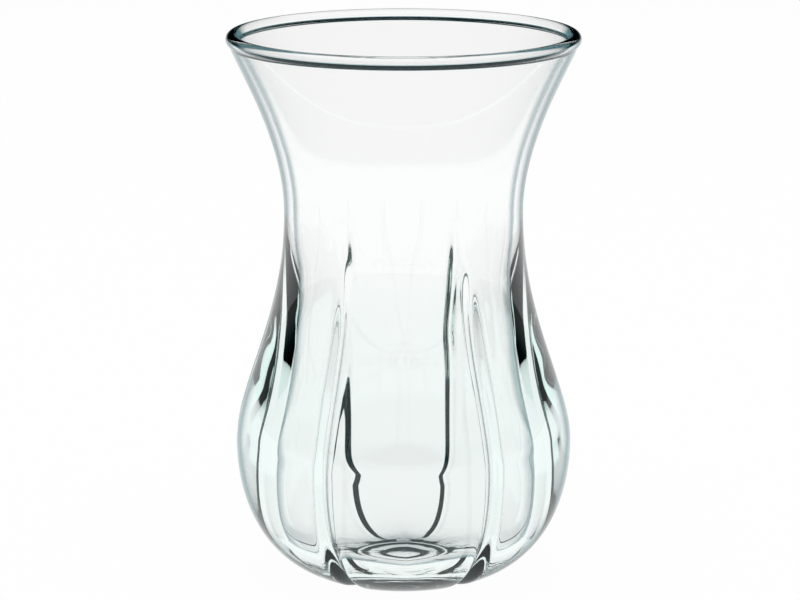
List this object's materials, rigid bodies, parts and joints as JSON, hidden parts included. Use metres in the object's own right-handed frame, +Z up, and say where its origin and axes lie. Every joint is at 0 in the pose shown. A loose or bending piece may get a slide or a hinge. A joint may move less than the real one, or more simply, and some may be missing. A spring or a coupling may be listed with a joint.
{
  "type": "tea glass",
  "caption": "Clear tulip-shaped glass for hot tea, with a flared mouth, a narrow waist to hold it by and a creased, lobed bulb. Empty.",
  "frame": {"origin": "centre of the foot, on the surface that the glass stands on", "axes": "+Z up along the glass's own axis; +X through one of the creases of the bulb, and -Y through the middle of a lobe, the side that faces forward"},
  "size_m": [0.059, 0.059, 0.093],
  "materials": {
    "clear_glass": "polished"
  },
  "bodies": {
    "root": {"tea_glass": "clear_glass"}
  },
  "joints": []
}
